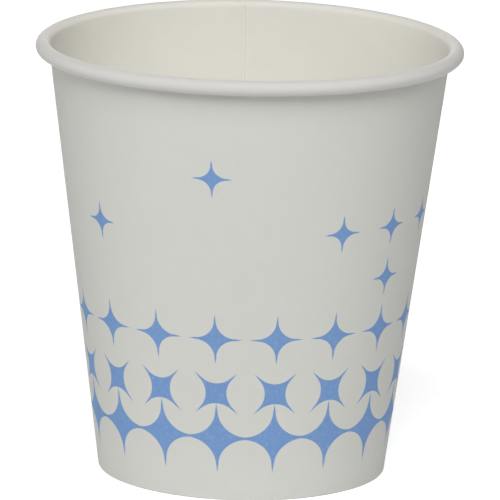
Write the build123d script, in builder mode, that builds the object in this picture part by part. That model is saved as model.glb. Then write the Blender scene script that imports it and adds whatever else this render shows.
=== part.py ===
from build123d import *

import os
from math import asin, atan2, cos, degrees, hypot, radians, sin, tan

# Driving dimensions of the cup, in millimetres
rim_diameter = 90.0  # over the rolled rim
cup_height = 92.2  # table to the top of the roll
foot_diameter = 60.7  # the wall's outer face, carried down to the table
base_recess = 7.0  # table to the underside of the base
wall_board = 0.38  # thickness of the sidewall's board
base_board = 0.30  # thickness of the base's board

# Rolled rim: the wall's top edge curls outward and tucks into its own roll
roll_width = 3.15
roll_turn = 250.0  # degrees that the round stretch turns through, to underneath the roll
tucked_turn = 135.0  # degrees that the tighter stretch after it turns through
roll_tightening = 0.45  # the tighter stretch's radius is this much smaller

# Foot: the wall's lower edge folds in and up round the skirt of the base
fold_height = 5.5  # table to the upper edge of the fold
foot_bend = 0.22  # centre-line radius of each bend under the foot
base_bend = 0.60  # centre-line radius between the base and its skirt
skirt_clearance = 0.15  # skirt's lower edge above the bottom of the fold
seal_film = 0.03  # between two faces of board that are sealed together

# Side seam: one upright edge of the wall laps over the other at the back
seam_bearing = 91.5  # degrees about the axis, from +X to the edge seen inside
lap_width = 7.0
lap_ramp = 3.0  # the outer layer comes back to the cone over this distance
lap_foot_margin = 0.5  # lower end of the lap above the table
rim_step = 0.19  # the inner layer's edge as it stands out on the pressed roll
rim_step_turn = 235.0  # degrees that this step follows the roll, from inside to underneath
rim_step_lead = 5.0  # degrees that it starts ahead of the roll, in the groove of the wall
seam_overrun = 0.5  # cuts at the seam start this far outside the board
ramp_overrun_share = 0.1  # of a ramp, past the face that it runs out on

# Roll centre, and the slope at which the wall's outer face meets the roll
roll_bend = (roll_width - wall_board) / 2
roll_centre = ((rim_diameter - roll_width) / 2, cup_height - roll_width / 2)
hollow_radius = roll_width / 2 - wall_board
foot_radius = foot_diameter / 2
lean = roll_centre[0] - foot_radius
slope = atan2(lean, roll_centre[1]) - asin(hollow_radius / hypot(lean, roll_centre[1]))
slope_degrees = degrees(slope)
wall_span = wall_board / cos(slope)  # thickness of the wall measured level

# Bends of the foot, which stand on a flat ring between them
foot_round = foot_bend + wall_board / 2
fold_offset = wall_board + base_board + 2 * seal_film
flat_ring = (fold_offset - 2 * foot_bend) / cos(slope)
outer_bend_radius = foot_radius + foot_round * tan(slope) - foot_round / cos(slope)
fold_run = (fold_height - foot_round) / cos(slope)

# Base, whose skirt lies between the wall and its fold
base_middle = base_recess + base_board / 2
base_bend_height = base_middle - base_bend
skirt_inset = wall_board + seal_film + base_board / 2 + base_bend
base_bend_radius = foot_radius + base_bend_height * tan(slope) - skirt_inset / cos(slope)
skirt_run = (base_bend_height - wall_board - skirt_clearance) / cos(slope)


def up_wall(run):
    """Step of this length up the wall, in its section."""
    return Vector(run * sin(slope), run * cos(slope))


def bend(centre, radius, first_angle, turn, board):
    """Draws the left and right face of a bent sheet; turn is positive to the left."""
    half = board / 2 if turn < 0 else -board / 2
    left_face = CenterArc(centre, radius + half, first_angle, turn)
    right_face = CenterArc(centre, radius - half, first_angle, turn)
    return left_face, right_face


def flat(first_bend, second_bend):
    """Draws both faces of the flat stretch between two bends."""
    for before, after in zip(first_bend, second_bend):
        Line(before @ 1, after @ 0)


def free_end(corners, step):
    """Draws a flat stretch that leaves two corners by a step, and its free edge."""
    ends = [corner + step for corner in corners]
    for corner, end in zip(corners, ends):
        Line(corner, end)
    Line(*ends)


def polar(radius, bearing):
    """Point on a level plane at a radius and a bearing in degrees."""
    return (radius * cos(radians(bearing)), radius * sin(radians(bearing)))


def draw_lap(height):
    """Section of the outer layer of the side seam, rooted halfway into the wall."""
    face = foot_radius + height * tan(slope)
    root = face - wall_span / 2
    crest = face + wall_span
    lap_turn = degrees(lap_width / face)
    ramp_turn = degrees(lap_ramp / face) * (crest - root) / wall_span
    free_edge = seam_bearing - lap_turn
    with BuildSketch(Plane.XY.offset(height)) as section:
        with BuildLine():
            CenterArc((0, 0), crest, free_edge, lap_turn)
            Line(polar(crest, seam_bearing), polar(root, seam_bearing + ramp_turn))
            CenterArc((0, 0), root, free_edge, lap_turn + ramp_turn)
            Line(polar(root, free_edge), polar(crest, free_edge))
        make_face()
    return section.sketch


def draw_groove(height):
    """Section of the groove that the inner layer's edge leaves inside the wall."""
    outside = foot_radius + height * tan(slope)
    inside = outside - wall_span
    run_out = inside - wall_span * ramp_overrun_share
    ramp_end = seam_bearing + degrees(lap_ramp / outside) * (1 + ramp_overrun_share)
    with BuildSketch(Plane.XY.offset(height)) as section:
        with BuildLine():
            Polyline(
                polar(inside - seam_overrun, seam_bearing),
                polar(outside, seam_bearing),
                polar(run_out, ramp_end),
                polar(inside - seam_overrun, ramp_end),
                close=True,
            )
        make_face()
    return section.sketch


def draw_rim_step(bearing, depth):
    """Section of the cut that leaves the inner layer's edge standing out on the roll."""
    first_angle = 180 - slope_degrees + rim_step_lead
    turned = radians(bearing)
    upright = Plane(
        origin=(0, 0, 0),
        x_dir=(cos(turned), sin(turned), 0),
        z_dir=(sin(turned), -cos(turned), 0),
    )
    with BuildSketch(upright) as section:
        with BuildLine():
            floor = CenterArc(roll_centre, roll_width / 2 - depth, first_angle, -rim_step_turn)
            outside = CenterArc(
                roll_centre, roll_width / 2 + seam_overrun, first_angle, -rim_step_turn
            )
            Line(floor @ 0, outside @ 0)
            Line(floor @ 1, outside @ 1)
        make_face()
    return section.sketch


# Sidewall: one sheet from the fold inside the foot, up the wall and round the roll
tuck_angle = 180 - slope_degrees - roll_turn
tuck_centre = Vector(roll_centre) + Vector(polar(roll_tightening, tuck_angle))
lap_low = draw_lap(lap_foot_margin)
lap_high = draw_lap(roll_centre[1])
groove_low = draw_groove(base_middle + base_bend)
groove_high = draw_groove(roll_centre[1])
rim_ramp_turn = degrees(lap_ramp / roll_centre[0]) * (1 + ramp_overrun_share)
rim_step_edge = draw_rim_step(seam_bearing, rim_step)
rim_step_end = draw_rim_step(seam_bearing + rim_ramp_turn, -rim_step * ramp_overrun_share)

with BuildPart() as sidewall:
    with BuildSketch(Plane.XZ):
        with BuildLine():
            inner_bend = bend(
                (outer_bend_radius - flat_ring, foot_round),
                foot_bend,
                180 - slope_degrees,
                90 + slope_degrees,
                wall_board,
            )
            outer_bend = bend(
                (outer_bend_radius, foot_round), foot_bend, 270, 90 - slope_degrees, wall_board
            )
            roll = bend(roll_centre, roll_bend, 180 - slope_degrees, -roll_turn, wall_board)
            tuck = bend(
                tuck_centre, roll_bend - roll_tightening, tuck_angle, -tucked_turn, wall_board
            )
            free_end([face @ 0 for face in inner_bend], up_wall(fold_run))
            flat(inner_bend, outer_bend)
            flat(outer_bend, roll)
            Line(*[face @ 1 for face in tuck])
        make_face()
    revolve(axis=Axis.Z)
    loft([lap_low.face(), lap_high.face()], ruled=True)
    loft([groove_low.face(), groove_high.face()], ruled=True, mode=Mode.SUBTRACT)
    loft([rim_step_edge.face(), rim_step_end.face()], ruled=True, mode=Mode.SUBTRACT)

# Base: a disc whose edge turns down into a skirt
with BuildPart() as base:
    with BuildSketch(Plane.XZ):
        with BuildLine():
            shoulder = bend(
                (base_bend_radius, base_bend_height),
                base_bend,
                90,
                -90 - slope_degrees,
                base_board,
            )
            Polyline(
                shoulder[0] @ 0,
                (0, base_recess + base_board),
                (0, base_recess),
                shoulder[1] @ 0,
            )
            free_end([face @ 1 for face in shoulder], up_wall(-skirt_run))
        make_face()
    revolve(axis=Axis.Z)

# Each piece is written to a file of its own
os.makedirs("parts", exist_ok=True)
sidewall.part.label = "sidewall"
export_step(sidewall.part, "parts/sidewall.step")
base.part.label = "base"
export_step(base.part, "parts/base.step")
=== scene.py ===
"""Looks of a printed paper cup: its rolled wall, its recessed base and a small studio.

The file is laid out as an add-on. Sizes are in metres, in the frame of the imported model.
"""

import functools
import math

import bpy
import numpy as np
from bpy.props import FloatProperty, FloatVectorProperty, IntProperty, PointerProperty
from mathutils import Matrix, Vector


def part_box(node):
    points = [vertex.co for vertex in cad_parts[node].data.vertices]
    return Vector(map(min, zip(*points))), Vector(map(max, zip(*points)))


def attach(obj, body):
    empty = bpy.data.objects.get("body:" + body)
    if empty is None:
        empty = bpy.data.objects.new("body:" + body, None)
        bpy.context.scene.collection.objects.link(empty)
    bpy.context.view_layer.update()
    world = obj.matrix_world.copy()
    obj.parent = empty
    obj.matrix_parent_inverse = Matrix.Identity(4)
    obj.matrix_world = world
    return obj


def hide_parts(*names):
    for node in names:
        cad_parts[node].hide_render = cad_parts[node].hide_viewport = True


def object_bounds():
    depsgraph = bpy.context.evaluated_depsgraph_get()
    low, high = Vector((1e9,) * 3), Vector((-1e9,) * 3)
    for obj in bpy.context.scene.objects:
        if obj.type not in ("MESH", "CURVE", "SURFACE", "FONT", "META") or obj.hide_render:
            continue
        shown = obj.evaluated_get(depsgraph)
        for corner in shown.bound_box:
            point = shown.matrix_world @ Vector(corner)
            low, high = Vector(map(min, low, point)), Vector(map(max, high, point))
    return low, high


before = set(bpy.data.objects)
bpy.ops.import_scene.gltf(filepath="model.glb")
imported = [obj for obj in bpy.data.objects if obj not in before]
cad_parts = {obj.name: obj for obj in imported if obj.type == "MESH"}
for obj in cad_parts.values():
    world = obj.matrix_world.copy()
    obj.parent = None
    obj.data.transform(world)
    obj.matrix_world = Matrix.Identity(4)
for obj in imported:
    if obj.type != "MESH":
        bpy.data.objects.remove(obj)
CAD_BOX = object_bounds()
BASE_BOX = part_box("base")

bl_info = {
    "name": "Paper Cup",
    "version": (1, 0, 0),
    "blender": (4, 5, 0),
    "location": "View3D > Sidebar > Cup",
    "description": "Builds the printed wall, the base and the studio of a paper cup",
    "category": "Object",
}

# Pixels along each side of the picture
PICTURE_SIDE = 500

# Turns in radians, and a colour
FULL_TURN = 2 * math.pi
HALF_TURN = math.pi
QUARTER_TURN = math.pi / 2
WHITE = (1.0, 1.0, 1.0, 1.0)

# Names of the maps, and of the body that the pieces ride on
BAKE_MAP = "OFBake"
PRINT_MAP = "print"
BODY = "root"

# Order of the materials on a piece
OUTSIDE = 0
INSIDE = 1
CUT = 2

# Numbers of a colour Mix node's sockets: its share, its two colours and its result
MIX_SHARE = 0
MIX_FIRST = 6
MIX_SECOND = 7
MIX_RESULT = 2

# Two faces that meet at more than this angle have a sharp edge between them
SHARP_ANGLE = math.radians(35)

# Points along each stretch of the wall's section, from the fold's edge to the roll's
FOLD_ROWS = 8
BEND_ROWS = 6
RING_ROWS = 3
WALL_ROWS = 26
NECK_ROWS = 5
ROLL_ROWS = 30
TUCK_ROWS = 9

# Columns round the cup: across the lap, along its ramp, and round the rest
LAP_COLUMNS = 14
RAMP_COLUMNS = 9
ROUND_COLUMNS = 440

# Points along the base's section, and columns round it
DISC_ROWS = 16
SHOULDER_ROWS = 10
SKIRT_ROWS = 5
BASE_COLUMNS = 200

# Thicknesses of board over which the seam rises at the foot, and over which the roll presses it
RISE_BOARDS = 4
PRESS_BOARDS = 2

# Shares of the fold's height, from its top, over which its grooves deepen and fade
KNURL_TOP_SHARES = (0.05, 0.25)
KNURL_BOTTOM_SHARES = (0.7, 0.95)

# Share of the board's thickness past which a step of the lap is a cut edge
EDGE_STEP_SHARE = 0.25

# Where the roll's painted shade starts and is full, past the roll's start, as shares of its width
ROLL_SHADE_SHARES = (0.15, 0.85)

# Texture of the board: waves to the metre, layers of detail, and shares of change
CLOUD_WAVES = 260.0
CLOUD_DETAIL = 4.0
CLOUD_SHARE = 0.02
CLOUD_RELIEF_SHARE = 2.0
FIBRE_WAVES = 2600.0
FIBRE_DETAIL = 3.0
INK_WAVES = 1700.0
INK_DETAIL = 4.0
INK_GRAIN_SHARE = 0.4
NOISE_ROUGHNESS = 0.65
UNEVEN_SHARE = 0.08
BOARD_FIBRE_SHARE = 0.16
BOARD_SHINE_SHARE = 0.04
COATING_FIBRE_SHARE = 0.05
COATING_SHINE_SHARE = 0.04
EDGE_FIBRE_SHARE = 0.4
EDGE_SHINE_SHARE = 0.1

# Share of the ink that covers the board right at a star's edge
EDGE_INK_SHARE = 0.5

# Share of a column by which two column numbers may differ and still be the same
SAME_COLUMN_SHARE = 0.5

# Lamps of the studio, and the roughness of its floor
LAMPS = ("key", "fill", "balance", "back")
FLOOR_ROUGHNESS = 1.0

# Columns of the loose stars at each height
LOOSE_STARS = (
    ("high", (0, 6, 10)),
    ("middle", (2, 3, 4, 7, 9, 12, 15)),
    ("low", (3, 8, 11)),
)

# Kinds of property: a length, an angle, a share, a pair of lengths, a place and a colour
LengthProperty = functools.partial(FloatProperty, unit="LENGTH")
AngleProperty = functools.partial(FloatProperty, unit="ROTATION")
ShareProperty = functools.partial(FloatProperty, subtype="FACTOR")
PairProperty = functools.partial(FloatVectorProperty, size=2, unit="LENGTH")
PlaceProperty = functools.partial(FloatVectorProperty, subtype="XYZ", unit="LENGTH")
ColourProperty = functools.partial(FloatVectorProperty, size=4, subtype="COLOR")


class CupSizes(bpy.types.PropertyGroup):
    """Sizes of the board, the roll, the foot and the seam"""

    rim_diameter: LengthProperty(
        name="Rim diameter",
        description="Across the outside of the rolled rim",
        default=CAD_BOX[1].x - CAD_BOX[0].x,
    )
    height: LengthProperty(
        name="Height",
        description="From the table to the top of the roll",
        default=CAD_BOX[1].z - CAD_BOX[0].z,
    )
    foot_diameter: LengthProperty(
        name="Foot diameter",
        description="Outer face of the wall, carried down to the table",
        default=0.0607,
    )
    wall_board: LengthProperty(
        name="Wall board",
        description="Thickness of the wall's board",
        default=0.00038,
    )
    base_board: LengthProperty(
        name="Base board",
        description="Thickness of the base's board",
        default=0.0003,
    )
    base_top: LengthProperty(
        name="Base height",
        description="From the table to the upper face of the base",
        default=BASE_BOX[1].z,
    )
    base_dish: LengthProperty(
        name="Base dish",
        description="How far the middle of the base sags",
        default=0.0003,
    )
    base_bend: LengthProperty(
        name="Base bend",
        description="Radius of the bend between the base and its skirt",
        default=0.0006,
    )
    skirt_clearance: LengthProperty(
        name="Skirt clearance",
        description="Skirt's lower edge above the bottom of the fold",
        default=0.00015,
    )
    seal_film: LengthProperty(
        name="Seal film",
        description="Between two faces of board that are sealed together",
        default=0.00003,
    )
    roll_width: LengthProperty(
        name="Roll width",
        description="Across the rolled rim",
        default=0.00315,
    )
    roll_turn: AngleProperty(
        name="Roll turn",
        description="How far the round stretch of the roll turns",
        default=math.radians(250),
    )
    tucked_turn: AngleProperty(
        name="Tucked turn",
        description="How far the tighter stretch after it turns",
        default=math.radians(135),
    )
    roll_tightening: LengthProperty(
        name="Roll tightening",
        description="The tighter stretch has a radius this much smaller",
        default=0.00045,
    )
    rim_sag: LengthProperty(
        name="Rim sag",
        description="How much lower the rim is at its sides than at its front and back",
        default=0.00035,
    )
    fold_height: LengthProperty(
        name="Fold height",
        description="From the table to the upper edge of the fold inside the foot",
        default=0.0055,
    )
    foot_bend: LengthProperty(
        name="Foot bend",
        description="Centre-line radius of each bend under the foot",
        default=0.00022,
    )
    knurl_depth: LengthProperty(
        name="Knurl depth",
        description="Depth of the grooves pressed into the fold",
        default=0.00009,
    )
    knurl_count: IntProperty(
        name="Knurl count",
        description="Grooves round the fold",
        default=88,
    )
    seam_bearing: AngleProperty(
        name="Seam bearing",
        description="From +X about the axis to the edge of the lap that shows inside",
        default=math.radians(91.5),
    )
    lap_width: LengthProperty(
        name="Lap width",
        description="Overlap of the wall's upright edges",
        default=0.007,
    )
    lap_ramp: LengthProperty(
        name="Lap ramp",
        description="Distance over which the outer layer comes back to the cone",
        default=0.003,
    )
    edge_width: LengthProperty(
        name="Edge width",
        description="Width of the step at the lap's cut edge outside",
        default=0.00004,
    )
    pressed_width: LengthProperty(
        name="Pressed width",
        description="Width of the step inside, where the seal presses the edge into a slope",
        default=0.00012,
    )
    rim_step: LengthProperty(
        name="Rim step",
        description="The inner layer's edge as it stands out on the roll",
        default=0.00019,
    )


class CupPrint(bpy.types.PropertyGroup):
    """Sizes and places of the printed stars"""

    columns: IntProperty(
        name="Columns",
        description="Columns of stars round the cup",
        default=17,
    )
    first_column: AngleProperty(
        name="First column",
        description="Column 0, from the front of the cup towards +X, at the foot",
        default=math.radians(-8.89),
    )
    lean: AngleProperty(
        name="Lean",
        description="Turn of a column for each metre up the wall",
        default=math.radians(-25.1),
    )
    joined_height: LengthProperty(
        name="Joined height",
        description="Middle of the joined stars above the table",
        default=0.01387,
    )
    joined_reach: PairProperty(
        name="Joined reach",
        description="Middle of a joined star to the middles of its hollow sides, across and along",
        default=(0.00635, 0.00601),
    )
    joined_tip: PairProperty(
        name="Joined tip",
        description="Middle of a joined star to its tips, which overlap the next star's across",
        default=(0.012, 0.00775),
    )
    turned_height: LengthProperty(
        name="Turned height",
        description="Middle of the turned stars above the table",
        default=0.02372,
    )
    turned_reach: PairProperty(
        name="Turned reach",
        description="Middle of a turned star to the middles of its hollow sides",
        default=(0.00483, 0.00483),
    )
    turned_tip: PairProperty(
        name="Turned tip",
        description="Middle of a turned star to its tips",
        default=(0.0063, 0.0063),
    )
    upright_height: LengthProperty(
        name="Upright height",
        description="Middle of the upright stars above the table",
        default=0.03561,
    )
    upright_reach: PairProperty(
        name="Upright reach",
        description="Middle of an upright star to the middles of its hollow sides, across and along",
        default=(0.00422, 0.00404),
    )
    upright_tip: PairProperty(
        name="Upright tip",
        description="Middle of an upright star to its tips, across and along",
        default=(0.00567, 0.00542),
    )
    loose_low_height: LengthProperty(
        name="Low loose height",
        description="Middle of the lowest loose stars above the table",
        default=0.04689,
    )
    loose_middle_height: LengthProperty(
        name="Middle loose height",
        description="Middle of the middle loose stars above the table",
        default=0.05802,
    )
    loose_high_height: LengthProperty(
        name="High loose height",
        description="Middle of the highest loose stars above the table",
        default=0.07053,
    )
    loose_reach: PairProperty(
        name="Loose reach",
        description="Middle of a loose star to the middles of its hollow sides, across and along",
        default=(0.00319, 0.00298),
    )
    loose_tip: PairProperty(
        name="Loose tip",
        description="Middle of a loose star to its tips, across and along",
        default=(0.00432, 0.00417),
    )
    joined_line: LengthProperty(
        name="Joined line",
        description="Width of the lines that join the lowest stars",
        default=0.00052,
    )
    line: LengthProperty(
        name="Line",
        description="Width of the thin lines that the single stars' tips run out in",
        default=0.0004,
    )
    taper_share: ShareProperty(
        name="Taper share",
        description="Share of a tip's length past which its line narrows",
        default=0.75,
    )
    ink_edge: LengthProperty(
        name="Ink edge",
        description="Width over which the ink fades out at a star's edge",
        default=0.0001,
    )
    ink: ColourProperty(
        name="Ink",
        description="Colour of the printed stars",
        default=(0.196, 0.35, 0.655, 1.0),
    )


class CupFinish(bpy.types.PropertyGroup):
    """Colours, shine and texture of the board"""

    board: ColourProperty(
        name="Board",
        description="Colour of the uncoated outside",
        default=(0.722, 0.728, 0.689, 1.0),
    )
    # Coated inside: the sheet's own cream, painted lighter to stand in for light that comes through the
    # wall and bounces inside the cup
    coating: ColourProperty(
        name="Coating",
        description="Colour of the coated inside",
        default=(0.882, 0.867, 0.799, 1.0),
    )
    # Roll: the same coated sheet as the inside, painted darker as shade on the rolled rim
    roll: ColourProperty(
        name="Roll",
        description="Colour of the coated board where it is rolled",
        default=(0.714, 0.696, 0.673, 1.0),
    )
    cut_edge: ColourProperty(
        name="Cut edge",
        description="Colour of the board's cut edges and of its fibres",
        default=(0.62, 0.59, 0.5, 1.0),
    )
    board_roughness: ShareProperty(
        name="Board roughness",
        description="Roughness of the uncoated board",
        default=0.75,
    )
    coating_roughness: ShareProperty(
        name="Coating roughness",
        description="Roughness of the coated board",
        default=0.6,
    )
    ink_roughness: ShareProperty(
        name="Ink roughness",
        description="Roughness of the printed ink",
        default=0.55,
    )
    edge_roughness: ShareProperty(
        name="Edge roughness",
        description="Roughness of a cut edge",
        default=0.9,
    )
    relief: LengthProperty(
        name="Relief",
        description="Depth of the board's fibrous relief",
        default=0.00002,
    )


class CupStage(bpy.types.PropertyGroup):
    """Camera, lamps and floor"""

    camera_distance: LengthProperty(
        name="Camera distance",
        description="Level distance from the cup's axis to the camera",
        default=1.4884,
    )
    camera_height: LengthProperty(
        name="Camera height",
        description="Camera above the table",
        default=0.3904,
    )
    camera_yaw: AngleProperty(
        name="Camera yaw",
        description="Turn of the view towards +X",
        default=0.00062,
    )
    camera_pitch: AngleProperty(
        name="Camera pitch",
        description="Dip of the view below the horizon",
        default=0.2269,
    )
    camera_roll: AngleProperty(
        name="Camera roll",
        description="Lean of the view about its own axis",
        default=0.0217,
    )
    focal_pixels: FloatProperty(
        name="Focal length in pixels",
        description="Focal length, in pixels of the square picture",
        default=7227.0,
    )
    sensor_width: FloatProperty(
        name="Sensor width",
        description="Width of the camera's sensor in millimetres",
        default=36.0,
    )
    floor_side: LengthProperty(
        name="Floor side",
        description="Length of each side of the floor",
        default=8.0,
    )
    floor_colour: ColourProperty(
        name="Floor colour",
        description="Colour of the floor",
        default=(0.92, 0.92, 0.92, 1.0),
    )
    floor_lift: FloatProperty(
        name="Floor lift",
        description="Light added to the floor where it is seen, which brings it to white",
        default=0.6,
    )
    key_place: PlaceProperty(
        name="Key place",
        description="Middle of the large soft lamp above the front",
        default=(-0.166, -1.354, 1.509),
    )
    key_side: LengthProperty(
        name="Key side",
        description="Length of each side of the large soft lamp",
        default=1.3,
    )
    key_power: FloatProperty(
        name="Key power",
        description="Power of the large soft lamp, in watts",
        default=32.7,
    )
    fill_place: PlaceProperty(
        name="Fill place",
        description="Middle of the weak lamp at the left",
        default=(-1.463, 0.258, 0.26),
    )
    fill_side: LengthProperty(
        name="Fill side",
        description="Length of each side of the weak lamp at the left",
        default=0.5,
    )
    fill_power: FloatProperty(
        name="Fill power",
        description="Power of the weak lamp at the left, in watts",
        default=3.3,
    )
    balance_place: PlaceProperty(
        name="Balance place",
        description="Middle of the weak lamp high at the right",
        default=(1.671, -0.146, 1.135),
    )
    balance_side: LengthProperty(
        name="Balance side",
        description="Length of each side of the weak lamp at the right",
        default=0.8,
    )
    balance_power: FloatProperty(
        name="Balance power",
        description="Power of the weak lamp at the right, in watts",
        default=5.4,
    )
    back_place: PlaceProperty(
        name="Back place",
        description="Middle of the lamp behind the cup",
        default=(-0.1, 1.6, 0.42),
    )
    back_side: LengthProperty(
        name="Back side",
        description="Length of each side of the lamp behind the cup",
        default=0.7,
    )
    back_power: FloatProperty(
        name="Back power",
        description="Power of the lamp behind the cup, in watts",
        default=5.5,
    )
    sky_strength: FloatProperty(
        name="Sky strength",
        description="Strength of the even light from all round",
        default=0.05,
    )


class Wiring:
    """Adds nodes to a node tree; a value given to a node is a socket or a plain number."""

    def __init__(self, tree):
        self.tree = tree

    def node(self, kind, inputs=(), **settings):
        """New node of a kind, with its settings and its inputs by name or number."""
        made = self.tree.nodes.new(kind)
        for name, value in settings.items():
            setattr(made, name, value)
        for key, value in dict(inputs).items():
            if isinstance(value, bpy.types.NodeSocket):
                self.tree.links.new(value, made.inputs[key])
            else:
                made.inputs[key].default_value = value
        return made

    def math(self, operation, *values, clamp=False):
        """Output of a Math node."""
        made = self.node("ShaderNodeMath", enumerate(values), operation=operation, use_clamp=clamp)
        return made.outputs[0]

    def mix(self, share, first, second):
        """Colour between two colours, by a share."""
        inputs = {MIX_SHARE: share, MIX_FIRST: first, MIX_SECOND: second}
        made = self.node("ShaderNodeMix", inputs, data_type="RGBA")
        return made.outputs[MIX_RESULT]

    def noise(self, place, waves, detail, roughness):
        """Noise between 0 and 1 at a place, with so many waves to the metre."""
        inputs = {"Vector": place, "Scale": waves, "Detail": detail, "Roughness": roughness}
        return self.node("ShaderNodeTexNoise", inputs).outputs["Fac"]

    def span(self, value, low, high):
        """A value from 0 to 1 carried to the span from low to high."""
        inputs = {"Value": value, "To Min": low, "To Max": high}
        return self.node("ShaderNodeMapRange", inputs).outputs["Result"]

    def link(self, socket, node, name):
        """Carries a socket to a node's input."""
        self.tree.links.new(socket, node.inputs[name])

    def source(self, node, name):
        """Socket that a node's input is linked to."""
        return node.inputs[name].links[0].from_socket


def new_material(name):
    """Material with a Principled shader; gives the material, its wiring and the shader."""
    material = bpy.data.materials.new(name)
    material.use_nodes = True
    shader = material.node_tree.nodes["Principled BSDF"]
    return material, Wiring(material.node_tree), shader


def star_group(print_):
    """Node group for the cover of a four-pointed star.

    The star is what four ellipses leave uncovered. Their middles lie out from the star's own by its
    reach across and along, and they end half a line from its two axes, so that a tip past the reach is
    a line. The line narrows past a share of the tip's length and is gone at its end. The depth in the
    ink is the distance outside the nearest ellipse as a share of its radius, times its radius along."""
    tree = bpy.data.node_groups.new("star", "ShaderNodeTree")
    for way in ("Across", "Along"):
        for name in (way, f"{way} reach", f"{way} tip"):
            tree.interface.new_socket(name, in_out="INPUT", socket_type="NodeSocketFloat")
    tree.interface.new_socket("Line", in_out="INPUT", socket_type="NodeSocketFloat")
    tree.interface.new_socket("Cover", in_out="OUTPUT", socket_type="NodeSocketFloat")
    wiring = Wiring(tree)
    given = wiring.node("NodeGroupInput").outputs
    half_line = wiring.math("DIVIDE", given["Line"], 2.0)
    radii = []
    squares = []
    tip_shares = []
    for way in ("Across", "Along"):
        size = wiring.math("ABSOLUTE", given[way])
        reach = given[f"{way} reach"]
        gap = wiring.math("MAXIMUM", wiring.math("SUBTRACT", reach, size), 0.0)
        radii.append(wiring.math("SUBTRACT", reach, half_line))
        gap_share = wiring.math("DIVIDE", gap, radii[-1])
        squares.append(wiring.math("MULTIPLY", gap_share, gap_share))
        tip_shares.append(wiring.math("DIVIDE", size, given[f"{way} tip"]))
    outside = wiring.math("SUBTRACT", wiring.math("SQRT", wiring.math("ADD", *squares)), 1.0)
    depth = wiring.math("MULTIPLY", outside, radii[-1])
    past = wiring.math("SUBTRACT", wiring.math("MAXIMUM", *tip_shares), print_.taper_share)
    narrowing = wiring.math("MULTIPLY", past, wiring.math("DIVIDE", half_line, 1 - print_.taper_share))
    depth = wiring.math("SUBTRACT", depth, wiring.math("MAXIMUM", narrowing, 0.0))
    cover = wiring.math("MULTIPLY_ADD", depth, 1 / print_.ink_edge, EDGE_INK_SHARE, clamp=True)
    wiring.node("NodeGroupOutput", {"Cover": cover})
    return tree


def star_print(wiring, sizes, print_):
    """Cover of all the stars, at the turn and the height up the wall that the print map gives."""
    group = star_group(print_)
    place = wiring.node("ShaderNodeUVMap", uv_map=PRINT_MAP).outputs["UV"]
    turn, rise = wiring.node("ShaderNodeSeparateXYZ", {0: place}).outputs[:2]
    columns = print_.columns
    lean = wiring.math("MULTIPLY", rise, print_.lean / FULL_TURN)
    from_first = wiring.math("SUBTRACT", turn, print_.first_column / FULL_TURN)
    column = wiring.math("MULTIPLY", wiring.math("SUBTRACT", from_first, lean), columns)
    nearest = wiring.math("ROUND", column)
    number = wiring.math("FLOORED_MODULO", nearest, columns)
    radius = wiring.math("MULTIPLY_ADD", rise, math.tan(wall_slope(sizes)), sizes.foot_diameter / 2)
    pitch = wiring.math("MULTIPLY", radius, FULL_TURN / columns)
    across = wiring.math("MULTIPLY", wiring.math("SUBTRACT", column, nearest), pitch)

    def row(kind, height, turned=False):
        """Cover of a row of stars of one kind at a height, upright or turned by an eighth of a turn."""
        first = across
        second = wiring.math("SUBTRACT", rise, height)
        if turned:
            eighth = math.sin(QUARTER_TURN / 2)
            ahead = wiring.math("MULTIPLY", wiring.math("ADD", first, second), eighth)
            aside = wiring.math("MULTIPLY", wiring.math("SUBTRACT", first, second), eighth)
            first, second = ahead, aside
        reach = getattr(print_, f"{kind}_reach")
        tip = getattr(print_, f"{kind}_tip")
        inputs = {"Line": print_.joined_line if kind == "joined" else print_.line}
        for order, (way, size) in enumerate((("Across", first), ("Along", second))):
            inputs |= {way: size, f"{way} reach": reach[order], f"{way} tip": tip[order]}
        return wiring.node("ShaderNodeGroup", inputs, node_tree=group).outputs["Cover"]

    cover = row("joined", print_.joined_height)
    cover = wiring.math("MAXIMUM", cover, row("turned", print_.turned_height, turned=True))
    cover = wiring.math("MAXIMUM", cover, row("upright", print_.upright_height))
    for ring, numbers in LOOSE_STARS:
        stars = row("loose", getattr(print_, f"loose_{ring}_height"))
        matches = [wiring.math("COMPARE", number, wanted, SAME_COLUMN_SHARE) for wanted in numbers]
        here = functools.reduce(lambda one, other: wiring.math("ADD", one, other), matches)
        cover = wiring.math("MAXIMUM", cover, wiring.math("MULTIPLY", stars, here))
    return cover


def shade(colour, share):
    """A colour made lighter or darker by a share."""
    return [value * share for value in colour[:3]] + [1.0]


def board_material(name, colour, roughness, finish, fibre_share, shine_share):
    """Board with a cloudy shade, an uneven dullness and a relief of fibres; gives the material, its
    wiring and its shader."""
    material, wiring, shader = new_material(name)
    place = wiring.node("ShaderNodeTexCoord").outputs["Object"]
    cloud = wiring.noise(place, CLOUD_WAVES, CLOUD_DETAIL, NOISE_ROUGHNESS)
    fibre = wiring.noise(place, FIBRE_WAVES, FIBRE_DETAIL, NOISE_ROUGHNESS)
    mottled = wiring.mix(cloud, shade(colour, 1 - CLOUD_SHARE), shade(colour, 1 + CLOUD_SHARE))
    tinted = wiring.mix(wiring.span(fibre, 0.0, fibre_share), mottled, finish.cut_edge)
    height = wiring.math("MULTIPLY_ADD", cloud, CLOUD_RELIEF_SHARE, fibre)
    bump = wiring.node("ShaderNodeBump", {"Height": height, "Distance": finish.relief})
    uneven = wiring.span(fibre, roughness * (1 - UNEVEN_SHARE), roughness * (1 + UNEVEN_SHARE))
    wiring.link(tinted, shader, "Base Color")
    wiring.link(uneven, shader, "Roughness")
    wiring.link(bump.outputs["Normal"], shader, "Normal")
    shader.inputs["Specular IOR Level"].default_value = shine_share
    return material, wiring, shader


def plain_board(name, finish):
    """Uncoated board, as under the base and below the print; gives what every board gives."""
    return board_material(
        name, finish.board, finish.board_roughness, finish, BOARD_FIBRE_SHARE, BOARD_SHINE_SHARE
    )


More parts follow.
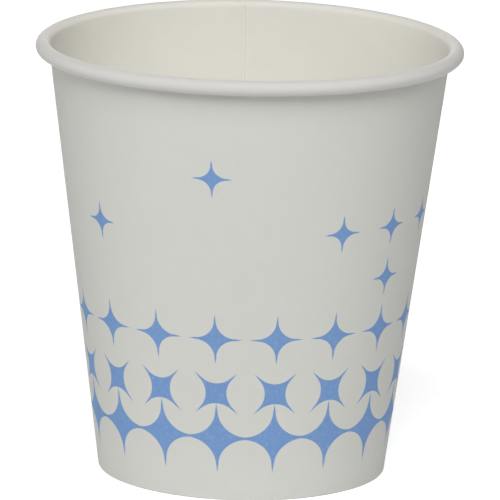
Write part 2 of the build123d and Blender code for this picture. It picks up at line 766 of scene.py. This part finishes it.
def coated_board(name, finish):
    """Board under a thin clear coating, soft in its shine; gives what every board gives."""
    # Its colour is the coating's: the sheet's cream, painted lighter to stand in for light that comes
    # through the wall and bounces inside the cup
    return board_material(
        name, finish.coating, finish.coating_roughness, finish, COATING_FIBRE_SHARE, COATING_SHINE_SHARE
    )


def rolled_board(sizes, finish):
    """Coated board, painted lighter inside the cup, that turns to the roll's darker painted shade on
    the way over the rim.
    """
    material, wiring, shader = coated_board("rolled_board", finish)
    place = wiring.node("ShaderNodeUVMap", uv_map=PRINT_MAP).outputs["UV"]
    rise = wiring.node("ShaderNodeSeparateXYZ", {0: place}).outputs[1]
    # Painted shade: over the rim, the coating's lighter painted colour gives way to the roll's darker
    # one by height
    roll_start = sizes.height - sizes.roll_width / 2
    first, last = (roll_start + share * sizes.roll_width for share in ROLL_SHADE_SHARES)
    inputs = {"Value": rise, "From Min": first, "From Max": last}
    roll_shade = wiring.node("ShaderNodeMapRange", inputs, interpolation_type="SMOOTHSTEP")
    inside = wiring.source(shader, "Base Color")
    colour = wiring.mix(roll_shade.outputs["Result"], inside, finish.roll)
    wiring.link(colour, shader, "Base Color")
    return material


def cut_board(finish):
    """Fibrous cut edge of the board."""
    material, _, _ = board_material(
        "cut_board", finish.cut_edge, finish.edge_roughness, finish, EDGE_FIBRE_SHARE, EDGE_SHINE_SHARE
    )
    return material


def printed_board(sizes, print_, finish):
    """Plain board with the stars printed on it in a slightly uneven ink."""
    material, wiring, shader = plain_board("printed_board", finish)
    place = wiring.node("ShaderNodeTexCoord").outputs["Object"]
    grain = wiring.noise(place, INK_WAVES, INK_DETAIL, NOISE_ROUGHNESS)
    density = wiring.span(grain, 1 - INK_GRAIN_SHARE, 1 + INK_GRAIN_SHARE)
    cover = wiring.math("MULTIPLY", star_print(wiring, sizes, print_), density, clamp=True)
    colour = wiring.mix(cover, wiring.source(shader, "Base Color"), print_.ink)
    rough = wiring.span(cover, wiring.source(shader, "Roughness"), finish.ink_roughness)
    wiring.link(colour, shader, "Base Color")
    wiring.link(rough, shader, "Roughness")
    return material


def wall_slope(sizes):
    """Angle of the wall from upright: its outer face runs from the foot to the inside of the roll."""
    lean = (sizes.rim_diameter - sizes.roll_width - sizes.foot_diameter) / 2
    rise = sizes.height - sizes.roll_width / 2
    hollow = sizes.roll_width / 2 - sizes.wall_board
    return math.atan2(lean, rise) - math.asin(hollow / math.hypot(lean, rise))


def smooth_step(value, low, high):
    """0 below low, 1 above high, and 3 t^2 - 2 t^3 between them."""
    share = np.clip((value - low) / (high - low), 0.0, 1.0)
    return share * share * (3.0 - 2.0 * share)


def bend_points(centre, radius, first, turn, count):
    """Centre + radius (cos a, sin a), as a goes from first through turn, with the sheet's right-hand
    normals: away from the centre on a left turn and towards it on a right turn."""
    angle = first + turn * np.linspace(0.0, 1.0, count)
    spoke = np.stack((np.cos(angle), np.sin(angle)), axis=1)
    return np.asarray(centre) + radius * spoke, math.copysign(1.0, turn) * spoke


def flat_points(start, end, count):
    """Points from start to end in a straight line, with their right-hand normals."""
    start, end = np.asarray(start), np.asarray(end)
    share = np.linspace(0.0, 1.0, count)[:, None]
    step = (end - start) / np.linalg.norm(end - start)
    normal = np.array((step[1], -step[0]))
    return start + share * (end - start), np.repeat(normal[None], count, axis=0)


def join_stretches(stretches):
    """One path of several stretches, each of which starts where the last one ends."""
    points = [stretches[0][0]] + [points[1:] for points, _ in stretches[1:]]
    normals = [stretches[0][1]] + [normals[1:] for _, normals in stretches[1:]]
    return np.concatenate(points), np.concatenate(normals)


def wall_section(sizes):
    """Middle line of the wall's board, in radius and height: down the fold, round the two bends of the
    foot, up the wall, and round the roll. Gives points, right-hand normals, the distance of each point
    along the line, and the first point of each stretch."""
    slope = wall_slope(sizes)
    up = np.array((math.sin(slope), math.cos(slope)))
    foot_round = sizes.foot_bend + sizes.wall_board / 2
    layers = sizes.wall_board + sizes.base_board + 2 * sizes.seal_film
    ring = (layers - 2 * sizes.foot_bend) / math.cos(slope)
    outer_radius = sizes.foot_diameter / 2 + foot_round * (math.tan(slope) - 1 / math.cos(slope))
    roll_bend = (sizes.roll_width - sizes.wall_board) / 2
    roll_centre = np.array(
        ((sizes.rim_diameter - sizes.roll_width) / 2, sizes.height - sizes.roll_width / 2)
    )
    tuck_angle = HALF_TURN - slope - sizes.roll_turn
    tuck_spoke = np.array((math.cos(tuck_angle), math.sin(tuck_angle)))
    inner_bend = bend_points(
        (outer_radius - ring, foot_round),
        sizes.foot_bend,
        HALF_TURN - slope,
        QUARTER_TURN + slope,
        BEND_ROWS,
    )
    outer_bend = bend_points(
        (outer_radius, foot_round), sizes.foot_bend, -QUARTER_TURN, QUARTER_TURN - slope, BEND_ROWS
    )
    roll = bend_points(roll_centre, roll_bend, HALF_TURN - slope, -sizes.roll_turn, ROLL_ROWS)
    tuck = bend_points(
        roll_centre + sizes.roll_tightening * tuck_spoke,
        roll_bend - sizes.roll_tightening,
        tuck_angle,
        -sizes.tucked_turn,
        TUCK_ROWS,
    )
    fold_top = inner_bend[0][0] + up * (sizes.fold_height - foot_round) / math.cos(slope)
    neck = roll[0][0] - up * sizes.roll_width
    stretches = {
        "fold": flat_points(fold_top, inner_bend[0][0], FOLD_ROWS),
        "inner_bend": inner_bend,
        "ring": flat_points(inner_bend[0][-1], outer_bend[0][0], RING_ROWS),
        "outer_bend": outer_bend,
        "wall": flat_points(outer_bend[0][-1], neck, WALL_ROWS),
        "neck": flat_points(neck, roll[0][0], NECK_ROWS),
        "roll": roll,
        "tuck": tuck,
    }
    points, normals = join_stretches(list(stretches.values()))
    steps = np.linalg.norm(np.diff(points, axis=0), axis=1)
    run = np.concatenate(((0.0,), np.cumsum(steps)))
    lengths = [len(stretch[0]) - 1 for stretch in stretches.values()]
    firsts = np.cumsum([0] + lengths[:-1])
    return points, normals, run, dict(zip(stretches, firsts))


def seam_columns(sizes, radius):
    """Bearings of the columns at each row, and the columns' weights of the outer layer's lap and of the
    inner layer's groove.

    The lap runs back from the seam's bearing by its width over the radius, and the ramp runs on from
    there. The step inside, between the two, has its pressed width. The step outside, at the lap's other
    end, has its edge width. Both weights are 1 where a layer is a whole board out of place, and fall to
    0 along the ramp."""
    edge = sizes.edge_width / 2 / radius[:, None]
    pressed = sizes.pressed_width / 2 / radius[:, None]
    seam = sizes.seam_bearing
    free_edge = seam - sizes.lap_width / radius[:, None]
    ramp = sizes.lap_ramp / radius[:, None]
    lap_share = np.linspace(0.0, 1.0, LAP_COLUMNS)
    ramp_share = np.linspace(0.0, 1.0, RAMP_COLUMNS, endpoint=False)
    round_share = np.linspace(0.0, 1.0, ROUND_COLUMNS)
    lap = free_edge + edge + (seam - free_edge - edge - pressed) * lap_share
    ramped = seam + pressed + (ramp - pressed) * ramp_share
    rest = seam + ramp + (free_edge + FULL_TURN - edge - seam - ramp) * round_share
    falling = 1.0 - ramp_share
    lap_weight = np.concatenate((np.ones(LAP_COLUMNS), falling, np.zeros(ROUND_COLUMNS)))
    groove_weight = np.concatenate((np.zeros(LAP_COLUMNS), falling, np.zeros(ROUND_COLUMNS)))
    return np.concatenate((lap, ramped, rest), axis=1), lap_weight, groove_weight


def turned_points(radius, height, bearing):
    """Points (radius cos b, radius sin b, height), b being the bearing, as rows by columns."""
    across = radius * np.cos(bearing)
    along = radius * np.sin(bearing)
    return np.stack((across, along, np.broadcast_to(height, across.shape)), axis=2)


def sheet_kinds(first_row, side):
    """Material of each face of a closed grid, by its first row: inside on the rows of the sheet's left
    face, outside on as many of its right face, and cut on its two edges."""
    kinds = np.where(first_row < side - 1, INSIDE, OUTSIDE)
    return np.where((first_row == side - 1) | (first_row == 2 * side - 1), CUT, kinds)


def wall_faces(sizes):
    """Left and right face of the wall's sheet as rows by columns of points, with the columns' bearings.

    Each face lies half a board from the middle line. The lap moves the right face outward by a board,
    and fades at the foot and under the roll. The groove moves the left face outward too, by a board on
    the wall and by the rim's step on the roll. The fold's face has grooves of the knurl's depth times
    (1 + cos(count x bearing)) / 2. The sheet sags by the rim's sag times the square of cos(bearing) and
    of its share of the height."""
    points, normals, run, firsts = wall_section(sizes)
    board = sizes.wall_board
    bearing, lap_weight, groove_weight = seam_columns(sizes, points[:, 0])
    height = points[:, 1]
    on_wall = np.arange(len(points)) >= firsts["wall"]
    past_roll = run - run[firsts["roll"]]
    past_tuck = run - run[firsts["tuck"]]
    lap_rows = on_wall * smooth_step(height, board, RISE_BOARDS * board)
    lap_rows = lap_rows * (1 - smooth_step(past_roll, -sizes.roll_width / 2, -board))
    groove_rows = on_wall * smooth_step(height, sizes.base_top, sizes.base_top + RISE_BOARDS * board)
    pressed = smooth_step(past_roll, -PRESS_BOARDS * board, PRESS_BOARDS * board)
    groove_rows = groove_rows * (1 - pressed * (1 - sizes.rim_step / board))
    groove_rows = groove_rows * (1 - smooth_step(past_tuck, -PRESS_BOARDS * board, 0.0))
    fold_share = run / run[firsts["inner_bend"]]
    knurl_rows = smooth_step(fold_share, *KNURL_TOP_SHARES)
    knurl_rows = knurl_rows * (1 - smooth_step(fold_share, *KNURL_BOTTOM_SHARES))
    knurl = (1 + np.cos(sizes.knurl_count * bearing)) / 2
    right = board / 2 + board * lap_rows[:, None] * lap_weight
    right = right - sizes.knurl_depth * knurl_rows[:, None] * knurl
    left = -board / 2 + board * groove_rows[:, None] * groove_weight

    def place(offset):
        """Points of the face at an offset from the middle line."""
        radius = points[:, :1] + normals[:, :1] * offset
        level = points[:, 1:] + normals[:, 1:] * offset
        level = level - sizes.rim_sag * (np.cos(bearing) * level / sizes.height) ** 2
        return turned_points(radius, level, bearing)

    return place(left), place(right), bearing


def wall_maps(sizes, bearing, corner_rows, corner_columns):
    """Bake map and print map of the wall's closed grid, for each corner.

    The bake map has the corner's shares of the columns and of the way round the sheet's section. The
    print map has the turn from the front in whole turns, and the height up the wall: that of the wall's
    foot, and the run from there times the cosine of the wall's slope."""
    points, _, run, firsts = wall_section(sizes)
    back = 2 * run[-1] + sizes.wall_board - run[::-1]
    around = np.concatenate((run, back, (back[-1] + sizes.wall_board,)))
    bake = np.stack((corner_columns / bearing.shape[1], around[corner_rows] / around[-1]), axis=2)
    closed_bearing = np.concatenate((bearing, bearing[::-1], bearing[:1]))
    closed_bearing = np.concatenate((closed_bearing, closed_bearing[:, :1] + FULL_TURN), axis=1)
    turn = (closed_bearing[corner_rows, corner_columns] + QUARTER_TURN) / FULL_TURN
    foot = firsts["wall"]
    rise = points[foot, 1] + (run - run[foot]) * math.cos(wall_slope(sizes))
    closed_rise = np.concatenate((rise, rise[::-1], rise[:1]))
    return bake, np.stack((turn, closed_rise[corner_rows]), axis=2)


def wall_kinds(sizes, right, quads, first_row):
    """Material of each face of the wall's closed grid: that of a sheet, and cut on the lap's free edge,
    where the first and the last column lie further apart than a share of the board."""
    side, column_count = right.shape[:2]
    step = np.linalg.norm(right[:, -1] - right[:, 0], axis=1)
    at_edge = np.zeros((2 * side, column_count), dtype=bool)
    at_edge[side:, [-1, 0]] = (step > EDGE_STEP_SHARE * sizes.wall_board)[::-1, None]
    return np.where(at_edge.ravel()[quads].all(axis=1), CUT, sheet_kinds(first_row, side))


def base_section(sizes):
    """Upper and lower face of the base's board in radius and height, from its middle to its edge.

    Its middle line is a level disc, a round shoulder, and a skirt that runs down along the wall. The
    disc sags by the dish times (1 - s^2)^2, where s is the share of its radius."""
    slope = wall_slope(sizes)
    board = sizes.base_board
    middle_height = sizes.base_top - board / 2
    bend_height = middle_height - sizes.base_bend
    inset = sizes.wall_board + sizes.seal_film + board / 2 + sizes.base_bend
    bend_radius = sizes.foot_diameter / 2 + bend_height * math.tan(slope) - inset / math.cos(slope)
    shoulder = bend_points(
        (bend_radius, bend_height), sizes.base_bend, QUARTER_TURN, -QUARTER_TURN - slope, SHOULDER_ROWS
    )
    skirt_run = (bend_height - sizes.wall_board - sizes.skirt_clearance) / math.cos(slope)
    down = -np.array((math.sin(slope), math.cos(slope)))
    disc = flat_points((0.0, middle_height), (bend_radius, middle_height), DISC_ROWS)
    skirt = flat_points(shoulder[0][-1], shoulder[0][-1] + skirt_run * down, SKIRT_ROWS)
    points, normals = join_stretches([disc, shoulder, skirt])
    share = np.clip(points[:, 0] / bend_radius, 0.0, 1.0)
    on_disc = np.arange(len(points)) < DISC_ROWS
    sag = sizes.base_dish * (1 - share**2) ** 2 * on_disc
    points = points - np.stack((np.zeros_like(sag), sag), axis=1)
    return points - normals * board / 2, points + normals * board / 2


def pole_fans(row_count):
    """Triangles that join the first and the last row of the base to its two poles, whose points come
    after those of the rows."""
    column = np.arange(BASE_COLUMNS)
    after = (column + 1) % BASE_COLUMNS
    last = (row_count - 1) * BASE_COLUMNS
    pole = np.full(BASE_COLUMNS, row_count * BASE_COLUMNS)
    first_fan = np.stack((pole, column, after), axis=1)
    last_fan = np.stack((pole + 1, last + after, last + column), axis=1)
    return np.concatenate((first_fan, last_fan))


def closed_grid(row_count, column_count):
    """Quads of a grid of rows by columns that closes both ways, with its corners' rows and columns."""
    row, column = np.meshgrid(np.arange(row_count), np.arange(column_count), indexing="ij")
    corner_rows = np.stack((row, row + 1, row + 1, row), axis=2).reshape(-1, 4)
    corner_columns = np.stack((column, column, column + 1, column + 1), axis=2).reshape(-1, 4)
    quads = (corner_rows % row_count) * column_count + corner_columns % column_count
    return quads, corner_rows, corner_columns


def fill_mesh(name, points, *faces):
    """Mesh of points and of whole arrays of faces, each with its own number of corners to a face."""
    mesh = bpy.data.meshes.new(name)
    corners = np.concatenate([group.ravel() for group in faces]).astype(np.int32)
    counts = np.concatenate([np.full(len(group), group.shape[1]) for group in faces])
    starts = np.concatenate(((0,), np.cumsum(counts)[:-1])).astype(np.int32)
    mesh.vertices.add(len(points))
    mesh.vertices.foreach_set("co", points.astype(np.float32).ravel())
    mesh.loops.add(len(corners))
    mesh.loops.foreach_set("vertex_index", corners)
    mesh.polygons.add(len(counts))
    mesh.polygons.foreach_set("loop_start", starts)
    mesh.polygons.foreach_set("use_smooth", np.ones(len(counts), dtype=bool))
    mesh.update(calc_edges=True)
    mesh.validate()
    mesh.set_sharp_from_angle(angle=SHARP_ANGLE)
    return mesh


def add_map(mesh, name, values):
    """UV map with one pair of values for each corner."""
    layer = mesh.uv_layers.new(name=name, do_init=False)
    layer.uv.foreach_set("vector", values.astype(np.float32).ravel())


def add_piece(mesh, materials, face_materials, node):
    """Object of a mesh that rides on the cup's body in place of a node of the frame."""
    for material in materials:
        mesh.materials.append(material)
    mesh.polygons.foreach_set("material_index", face_materials.astype(np.int32))
    piece = bpy.data.objects.new(mesh.name, mesh)
    bpy.context.scene.collection.objects.link(piece)
    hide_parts(node)
    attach(piece, BODY)


class CUP_OT_sidewall(bpy.types.Operator):
    """Build the rolled and printed wall"""

    bl_idname = "cup.sidewall"
    bl_label = "Sidewall"

    def execute(self, context):
        sizes = context.scene.cup_sizes
        finish = context.scene.cup_finish
        left, right, bearing = wall_faces(sizes)
        grid = np.concatenate((left, right[::-1]))
        quads, corner_rows, corner_columns = closed_grid(*grid.shape[:2])
        mesh = fill_mesh("printed_sidewall", grid.reshape(-1, 3), quads)
        bake, print_places = wall_maps(sizes, bearing, corner_rows, corner_columns)
        add_map(mesh, BAKE_MAP, bake)
        add_map(mesh, PRINT_MAP, print_places)
        mesh.uv_layers[BAKE_MAP].active_render = True
        materials = (
            printed_board(sizes, context.scene.cup_print, finish),
            rolled_board(sizes, finish),
            cut_board(finish),
        )
        kinds = wall_kinds(sizes, right, quads, corner_rows[:, 0])
        add_piece(mesh, materials, kinds, "sidewall")
        return {"FINISHED"}


class CUP_OT_base(bpy.types.Operator):
    """Build the recessed base and its skirt"""

    bl_idname = "cup.base"
    bl_label = "Base"

    def execute(self, context):
        finish = context.scene.cup_finish
        upper, lower = base_section(context.scene.cup_sizes)
        section = np.concatenate((upper[1:], lower[:0:-1]))
        row_count = len(section)
        bearing = np.linspace(0.0, FULL_TURN, BASE_COLUMNS, endpoint=False)
        grid = turned_points(section[:, :1], section[:, 1:], bearing)
        poles = np.array(((0.0, 0.0, upper[0, 1]), (0.0, 0.0, lower[0, 1])))
        quads, corner_rows, _ = closed_grid(row_count, BASE_COLUMNS)
        first_row = corner_rows[:, 0]
        kept = first_row < row_count - 1
        points = np.concatenate((grid.reshape(-1, 3), poles))
        mesh = fill_mesh("recessed_base", points, quads[kept], pole_fans(row_count))
        kinds = sheet_kinds(first_row[kept], row_count // 2)
        fan_kinds = np.repeat((INSIDE, OUTSIDE), BASE_COLUMNS)
        plain, _, _ = plain_board("plain_board", finish)
        coated, _, _ = coated_board("coated_board", finish)
        materials = (plain, coated, cut_board(finish))
        add_piece(mesh, materials, np.concatenate((kinds, fan_kinds)), "base")
        return {"FINISHED"}


def seen_directly(wiring):
    """1 for rays from the camera and those that a shine or a clear thing sends on, and 0 for light."""
    rays = wiring.node("ShaderNodeLightPath").outputs
    seen = wiring.math("MAXIMUM", rays["Is Camera Ray"], rays["Is Glossy Ray"])
    return wiring.math("MAXIMUM", seen, rays["Is Transmission Ray"])


def add_lamp(scene, stage, name):
    """Square soft lamp with the stage's settings of its name, turned to the middle of the cup."""
    data = bpy.data.lights.new(name, "AREA")
    data.energy = getattr(stage, f"{name}_power")
    data.shape = "SQUARE"
    data.size = getattr(stage, f"{name}_side")
    lamp = bpy.data.objects.new(name, data)
    lamp.location = getattr(stage, f"{name}_place")
    middle = (CAD_BOX[0] + CAD_BOX[1]) / 2
    lamp.rotation_mode = "QUATERNION"
    lamp.rotation_quaternion = (middle - lamp.location).to_track_quat("-Z", "Y")
    lamp.visible_camera = False
    scene.collection.objects.link(lamp)


def add_sky(scene, stage):
    """Even white light from all round, weak as light and at full strength where it is seen."""
    world = bpy.data.worlds.new("studio")
    world.use_nodes = True
    scene.world = world
    wiring = Wiring(world.node_tree)
    sky = world.node_tree.nodes["Background"]
    sky.inputs["Color"].default_value = WHITE
    strength = wiring.span(seen_directly(wiring), stage.sky_strength, 1.0)
    wiring.link(strength, sky, "Strength")


def add_floor(scene, stage):
    """Square floor, dull and pale, and lifted to white where it is seen."""
    half = stage.floor_side / 2
    corners = np.array(((-half, -half, 0.0), (half, -half, 0.0), (half, half, 0.0), (-half, half, 0.0)))
    mesh = fill_mesh("floor", corners, np.arange(len(corners))[None])
    material, wiring, shader = new_material("pale_floor")
    shader.inputs["Base Color"].default_value = stage.floor_colour
    shader.inputs["Roughness"].default_value = FLOOR_ROUGHNESS
    shader.inputs["Specular IOR Level"].default_value = 0.0
    shader.inputs["Emission Color"].default_value = WHITE
    lift = wiring.math("MULTIPLY", seen_directly(wiring), stage.floor_lift)
    wiring.link(lift, shader, "Emission Strength")
    mesh.materials.append(material)
    floor = bpy.data.objects.new("floor", mesh)
    scene.collection.objects.link(floor)


def add_camera(scene, stage):
    """Camera in front of the cup, whose view is turned by its yaw, dipped by its pitch and leant by its
    roll, with the focal length that fits a square picture."""
    yaw = stage.camera_yaw
    pitch = stage.camera_pitch
    roll = stage.camera_roll
    level_share = math.cos(pitch)
    forward = Vector((math.sin(yaw) * level_share, math.cos(yaw) * level_share, -math.sin(pitch)))
    level_right = Vector((math.cos(yaw), -math.sin(yaw), 0.0))
    level_up = level_right.cross(forward)
    right = level_right * math.cos(roll) + level_up * math.sin(roll)
    up = right.cross(forward)
    data = bpy.data.cameras.new("camera")
    data.sensor_width = stage.sensor_width
    data.lens = stage.sensor_width * stage.focal_pixels / PICTURE_SIDE
    camera = bpy.data.objects.new("camera", data)
    turn = Matrix((right, up, -forward)).transposed()
    place = Vector((0.0, -stage.camera_distance, stage.camera_height))
    camera.matrix_world = Matrix.Translation(place) @ turn.to_4x4()
    scene.collection.objects.link(camera)
    scene.camera = camera


class CUP_OT_stage(bpy.types.Operator):
    """Set up the floor, the lamps and the camera"""

    bl_idname = "cup.stage"
    bl_label = "Stage"

    def execute(self, context):
        scene = context.scene
        stage = scene.cup_stage
        scene.view_settings.view_transform = "Standard"
        add_sky(scene, stage)
        add_floor(scene, stage)
        for name in LAMPS:
            add_lamp(scene, stage, name)
        add_camera(scene, stage)
        return {"FINISHED"}


class CUP_PT_panel(bpy.types.Panel):
    """Sidebar panel with the cup's pieces"""

    bl_idname = "CUP_PT_panel"
    bl_label = "Paper Cup"
    bl_space_type = "VIEW_3D"
    bl_region_type = "UI"
    bl_category = "Cup"

    def draw(self, context):
        for operator in OPERATORS:
            self.layout.operator(operator.bl_idname)


GROUPS = {
    "cup_sizes": CupSizes,
    "cup_print": CupPrint,
    "cup_finish": CupFinish,
    "cup_stage": CupStage,
}
OPERATORS = (CUP_OT_sidewall, CUP_OT_base, CUP_OT_stage)
CLASSES = (*GROUPS.values(), *OPERATORS, CUP_PT_panel)


def register():
    """Adds the settings, the operators and the panel."""
    for item in CLASSES:
        bpy.utils.register_class(item)
    for name, group in GROUPS.items():
        setattr(bpy.types.Scene, name, PointerProperty(type=group))


def unregister():
    """Takes them away again."""
    for name in GROUPS:
        delattr(bpy.types.Scene, name)
    for item in reversed(CLASSES):
        bpy.utils.unregister_class(item)


def main():
    """Builds the cup and its studio."""
    register()
    bpy.ops.cup.sidewall()
    bpy.ops.cup.base()
    bpy.ops.cup.stage()
    bpy.context.view_layer.update()


if __name__ == "__main__":
    main()
